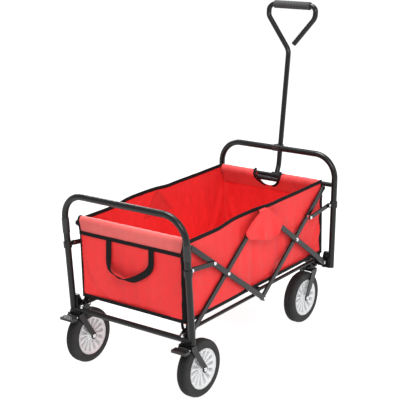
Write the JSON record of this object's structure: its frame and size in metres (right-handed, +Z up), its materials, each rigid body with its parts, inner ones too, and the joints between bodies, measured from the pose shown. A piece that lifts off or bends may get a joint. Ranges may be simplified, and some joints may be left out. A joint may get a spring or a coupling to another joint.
{
  "type": "folding wagon",
  "caption": "Folding fabric utility wagon on a tube frame with scissor sides, braked rear wheels, swivel front casters and a looped pull handle that swings down to tow.",
  "frame": {"origin": "on the ground under the middle of the whole open wagon, handle included", "axes": "+X towards the pull-handle end, +Y to the wagon's left side, +Z up"},
  "size_m": [0.9985, 0.5082, 1.0951],
  "materials": {
    "frame_black": "satin black powder coat",
    "rivet_steel": "zinc-plated",
    "tyre_black": "matt moulded tread",
    "rim_grey": "light grey moulded plastic",
    "grip_rubber": "fine-grained sleeve",
    "plastic_black": "moulded black plastic",
    "fabric_red": "coated plain-weave polyester",
    "fabric_black": "ribbed polyester webbing",
    "fabric_floor": "padded polyester base"
  },
  "bodies": {
    "rear_frame": {"rear_hoop": "frame_black", "rear_bottom_bar": "frame_black", "rear_brace_collars": "frame_black", "rear_upright_sleeves": "plastic_black", "rear_hinge_brackets": "frame_black", "rear_frame_rivets": "rivet_steel", "rear_right_fork": "frame_black", "rear_left_fork": "frame_black", "rear_axles": "rivet_steel", "rear_wheel_bolts": "rivet_steel"},
    "rear_rising_links": {"rear_rising_link_right": "frame_black", "rear_rising_link_left": "frame_black", "middle_top_rivets": "rivet_steel"},
    "rear_falling_links": {"rear_falling_link_right": "frame_black", "rear_falling_link_left": "frame_black", "rear_crossing_rivets": "rivet_steel"},
    "front_falling_links": {"front_falling_link_right": "frame_black", "front_falling_link_left": "frame_black", "front_crossing_rivets": "rivet_steel"},
    "front_rising_links": {"front_rising_link_right": "frame_black", "front_rising_link_left": "frame_black"},
    "front_frame": {"front_hoop": "frame_black", "front_bottom_bar": "frame_black", "front_cross_tube": "frame_black", "front_brace_collars": "frame_black", "front_hinge_brackets": "frame_black", "front_frame_rivets": "rivet_steel", "front_caster_sockets": "frame_black", "handle_clip": "plastic_black"},
    "rear_brace_pair": {"rear_braces": "frame_black", "rear_brace_rivets": "rivet_steel"},
    "front_brace_pair": {"front_braces": "frame_black", "front_brace_rivets": "rivet_steel"},
    "rear_bar": {"rear_top_bar": "frame_black"},
    "front_bar": {"front_top_bar": "frame_black"},
    "rear_floor": {"rear_floor_rails": "frame_black", "floor_cross_tube": "frame_black"},
    "front_floor": {"front_floor_rails": "frame_black"},
    "tub": {"tub_walls": "fabric_red", "floor_mat": "fabric_floor", "rear_apron": "fabric_red", "carry_strap": "fabric_black", "side_pockets": "fabric_red"},
    "handle": {"handle_tube": "frame_black", "handle_grip": "grip_rubber", "handle_end_plug": "plastic_black"},
    "rear_right_wheel": {"rear_right_tyre": "tyre_black", "rear_right_rim": "rim_grey"},
    "rear_left_wheel": {"rear_left_tyre": "tyre_black", "rear_left_rim": "rim_grey"},
    "front_right_caster": {"front_right_caster_fork": "frame_black", "front_right_axle": "rivet_steel"},
    "front_left_caster": {"front_left_caster_fork": "frame_black", "front_left_axle": "rivet_steel"},
    "front_right_wheel": {"front_right_tyre": "tyre_black", "front_right_rim": "rim_grey"},
    "front_left_wheel": {"front_left_tyre": "tyre_black", "front_left_rim": "rim_grey"},
    "right_brake": {"right_brake_pedal": "plastic_black"},
    "left_brake": {"left_brake_pedal": "plastic_black"}
  },
  "joints": [
    {"name": "fold", "type": "hinge", "parent": "rear_frame", "child": "rear_rising_links", "pos_m": [-0.421, 0, 0.21], "axis": [0, -1, 0], "range_deg": [0, 43.5], "deforming": ["tub_walls", "floor_mat", "rear_apron", "carry_strap", "side_pockets"]},
    {"name": "rear_crossing", "type": "hinge", "parent": "rear_rising_links", "child": "rear_falling_links", "pos_m": [-0.238, 0, 0.34541], "axis": [0, -1, 0], "range_deg": [-87.05, 0]},
    {"name": "bottom_middle", "type": "hinge", "parent": "rear_falling_links", "child": "front_falling_links", "pos_m": [-0.04, 0, 0.1989], "axis": [0, -1, 0], "range_deg": [0, 87.05]},
    {"name": "top_middle", "type": "hinge", "parent": "rear_rising_links", "child": "front_rising_links", "pos_m": [-0.04, 0, 0.49193], "axis": [0, -1, 0], "range_deg": [-87.05, 0]},
    {"name": "front_foot", "type": "hinge", "parent": "front_rising_links", "child": "front_frame", "pos_m": [0.341, 0, 0.21], "axis": [0, -1, 0], "range_deg": [0, 43.55]},
    {"name": "rear_bar_pivot", "type": "hinge", "parent": "rear_falling_links", "child": "rear_bar", "pos_m": [-0.421, 0, 0.48083], "axis": [0, -1, 0], "range_deg": [0, 43.55]},
    {"name": "front_bar_pivot", "type": "hinge", "parent": "front_falling_links", "child": "front_bar", "pos_m": [0.341, 0, 0.48083], "axis": [0, -1, 0], "range_deg": [-43.55, 0]},
    {"name": "tub_hang", "type": "hinge", "parent": "rear_rising_links", "child": "tub", "pos_m": [-0.04, 0, 0.49193], "axis": [0, -1, 0], "range_deg": [-43.55, 0]},
    {"name": "rear_brace_swing", "type": "hinge", "parent": "rear_frame", "child": "rear_brace_pair", "pos_m": [-0.43461, 0, 0.41711], "axis": [0, -1, 0], "range_deg": [0, 78.91]},
    {"name": "front_brace_swing", "type": "hinge", "parent": "front_frame", "child": "front_brace_pair", "pos_m": [0.35461, 0, 0.41711], "axis": [0, -1, 0], "range_deg": [-78.91, 0]},
    {"name": "rear_floor_swing", "type": "hinge", "parent": "rear_frame", "child": "rear_floor", "pos_m": [-0.421, 0, 0.214], "axis": [0, -1, 0], "range_deg": [0, 77.57]},
    {"name": "front_floor_swing", "type": "hinge", "parent": "front_frame", "child": "front_floor", "pos_m": [0.341, 0, 0.214], "axis": [0, -1, 0], "range_deg": [-77.57, 0]},
    {"name": "handle_swing", "type": "hinge", "parent": "front_frame", "child": "handle", "pos_m": [0.38012, 0, 0.4836], "axis": [0, 1, 0], "range_deg": [0, 115]},
    {"name": "rear_right_wheel_spin", "type": "hinge", "parent": "rear_frame", "child": "rear_right_wheel", "pos_m": [-0.398, -0.226, 0.091], "axis": [0, 1, 0], "continuous": true},
    {"name": "rear_left_wheel_spin", "type": "hinge", "parent": "rear_frame", "child": "rear_left_wheel", "pos_m": [-0.398, 0.226, 0.091], "axis": [0, 1, 0], "continuous": true},
    {"name": "front_right_swivel", "type": "hinge", "parent": "front_frame", "child": "front_right_caster", "pos_m": [0.323, -0.173, 0.19], "axis": [0, 0, 1], "continuous": true},
    {"name": "front_left_swivel", "type": "hinge", "parent": "front_frame", "child": "front_left_caster", "pos_m": [0.323, 0.173, 0.19], "axis": [0, 0, 1], "continuous": true},
    {"name": "front_right_wheel_spin", "type": "hinge", "parent": "front_right_caster", "child": "front_right_wheel", "pos_m": [0.275, -0.173, 0.091], "axis": [0, 1, 0], "continuous": true},
    {"name": "front_left_wheel_spin", "type": "hinge", "parent": "front_left_caster", "child": "front_left_wheel", "pos_m": [0.275, 0.173, 0.091], "axis": [0, 1, 0], "continuous": true},
    {"name": "right_brake_press", "type": "hinge", "parent": "rear_frame", "child": "right_brake", "pos_m": [-0.468, -0.226, 0.177], "axis": [0, -1, 0], "range_deg": [0, 14]},
    {"name": "left_brake_press", "type": "hinge", "parent": "rear_frame", "child": "left_brake", "pos_m": [-0.468, 0.226, 0.177], "axis": [0, -1, 0], "range_deg": [0, 14]}
  ],
  "couplings": [
    {"joint": "rear_crossing", "follows": "fold", "ratio": -2},
    {"joint": "bottom_middle", "follows": "fold", "ratio": 2},
    {"joint": "top_middle", "follows": "fold", "ratio": -2},
    {"joint": "front_foot", "follows": "fold", "ratio": 1},
    {"joint": "rear_bar_pivot", "follows": "fold", "ratio": 1},
    {"joint": "front_bar_pivot", "follows": "fold", "ratio": -1},
    {"joint": "tub_hang", "follows": "fold", "ratio": -1},
    {"joint": "rear_brace_swing", "follows": "fold", "ratio": 1.8128},
    {"joint": "front_brace_swing", "follows": "fold", "ratio": -1.8128},
    {"joint": "rear_floor_swing", "follows": "fold", "ratio": 1.7822},
    {"joint": "front_floor_swing", "follows": "fold", "ratio": -1.7822}
  ]
}
